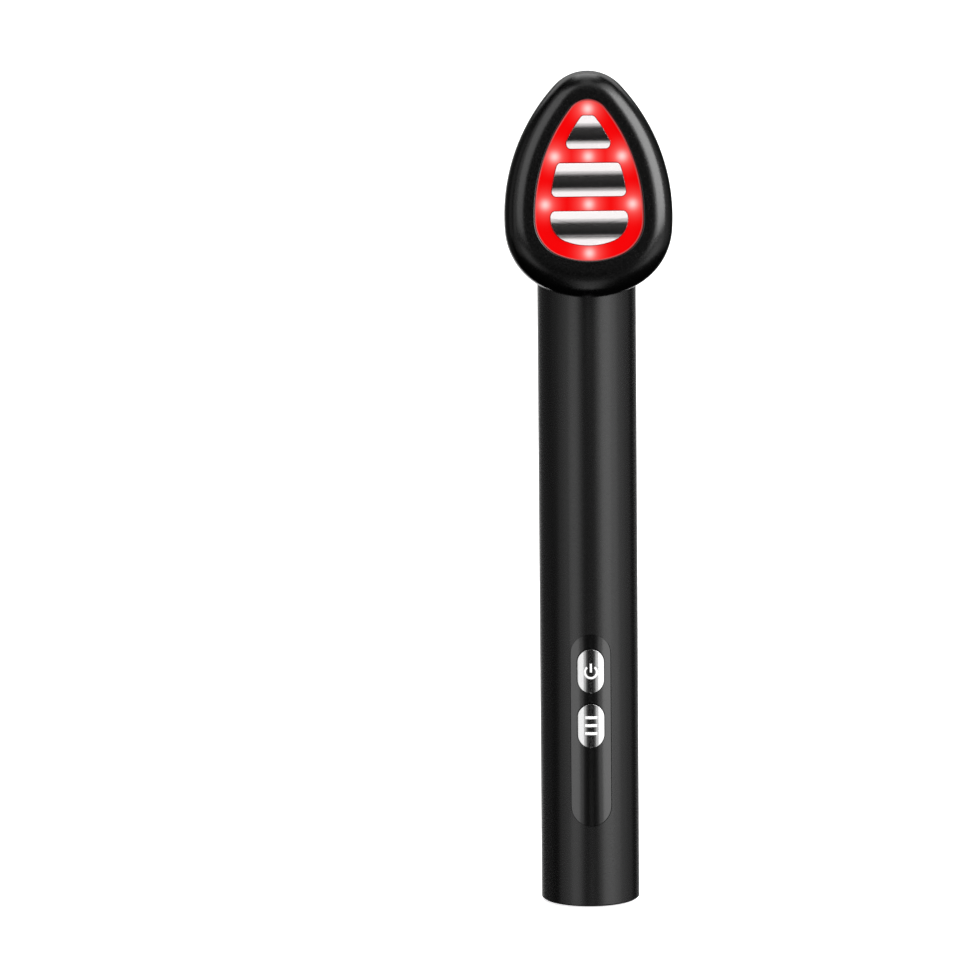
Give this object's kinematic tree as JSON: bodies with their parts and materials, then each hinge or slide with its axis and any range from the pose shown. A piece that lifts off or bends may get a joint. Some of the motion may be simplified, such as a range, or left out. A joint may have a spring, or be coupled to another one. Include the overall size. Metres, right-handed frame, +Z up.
{
  "type": "heated eye massager wand",
  "caption": "Slim round wand with a teardrop massage head that swivels on a slanted seat, lit red insert, chrome warming plates and push keys on a front panel.",
  "frame": {"origin": "centre of the handle's flat foot", "axes": "+Z up along the handle, -Y out of the front with the keys and the head's plates, +X to the user's right when facing the front"},
  "size_m": [0.0328, 0.0314, 0.1676],
  "materials": {
    "black_tube": "satin black",
    "head_black": "satin black",
    "black_plastic": "satin black",
    "gloss_panel": "gloss black",
    "socket_steel": "stamped",
    "chrome_key": "polished",
    "chrome_plate": "polished",
    "red_guide": "translucent red, lit",
    "led_red": "lit",
    "inner_plastic": "moulded",
    "soft_rubber": "matt",
    "board_green": "solder mask",
    "board_white": "white solder mask",
    "chip_black": "moulded",
    "screw_steel": "plated",
    "cell_wrap": "shrink wrap",
    "nickel": "rolled",
    "lead_jacket": "extruded",
    "bush_brass": "turned",
    "film_amber": "film",
    "bead_black": "dipped",
    "motor_steel": "drawn"
  },
  "bodies": {
    "handle": {"handle_tube": "black_tube", "end_cap": "black_plastic", "usb_socket_shell": "socket_steel", "usb_socket_tongue": "inner_plastic", "control_panel": "gloss_panel", "button_seal": "soft_rubber", "switch_bodies": "inner_plastic", "control_board": "board_green", "board_components": "chip_black", "board_screws": "screw_steel", "chassis": "inner_plastic", "chassis_screws": "screw_steel", "battery_cell": "cell_wrap", "battery_tabs": "nickel", "cell_pads": "soft_rubber", "handle_lead": "lead_jacket", "neck_plug": "black_plastic", "neck_dome": "black_tube", "pivot_bush": "bush_brass", "friction_ring": "soft_rubber"},
    "head": {"pivot_shaft": "screw_steel", "wave_washer": "screw_steel", "retaining_clip": "screw_steel", "stop_pin": "screw_steel", "flange_screws": "screw_steel", "back_shell": "head_black", "front_bezel": "head_black", "shell_gasket": "soft_rubber", "shell_screws": "screw_steel", "light_guide": "red_guide", "upper_plate": "chrome_plate", "middle_plate": "chrome_plate", "lower_plate": "chrome_plate", "heater_films": "film_amber", "led_board": "board_white", "leds": "led_red", "temperature_sensor": "bead_black", "head_components": "chip_black", "motor_can": "motor_steel", "motor_cradle": "soft_rubber", "head_lead": "lead_jacket"},
    "power_key": {"power_button": "chrome_key", "power_plunger": "inner_plastic"},
    "mode_key": {"mode_button": "chrome_key", "mode_plunger": "inner_plastic"},
    "motor_rotor": {"motor_shaft": "motor_steel", "eccentric_weight": "motor_steel"}
  },
  "joints": [
    {"name": "head_swivel", "type": "hinge", "parent": "handle", "child": "head", "pos_m": [0, -0.00565, 0.1441], "axis": [0, -0.9816, 0.1908], "range_deg": [0, 180]},
    {"name": "power_key_press", "type": "slide", "parent": "handle", "child": "power_key", "axis": [0, 1, 0], "range_m": [0, 0.0005], "stiffness_N_per_m": 1500, "springref_m": -0.0002},
    {"name": "mode_key_press", "type": "slide", "parent": "handle", "child": "mode_key", "axis": [0, 1, 0], "range_m": [0, 0.0005], "stiffness_N_per_m": 1500, "springref_m": -0.0002},
    {"name": "motor_spin", "type": "hinge", "parent": "head", "child": "motor_rotor", "pos_m": [0, -0.01235, 0.13216], "axis": [1, 0, 0], "continuous": true}
  ]
}
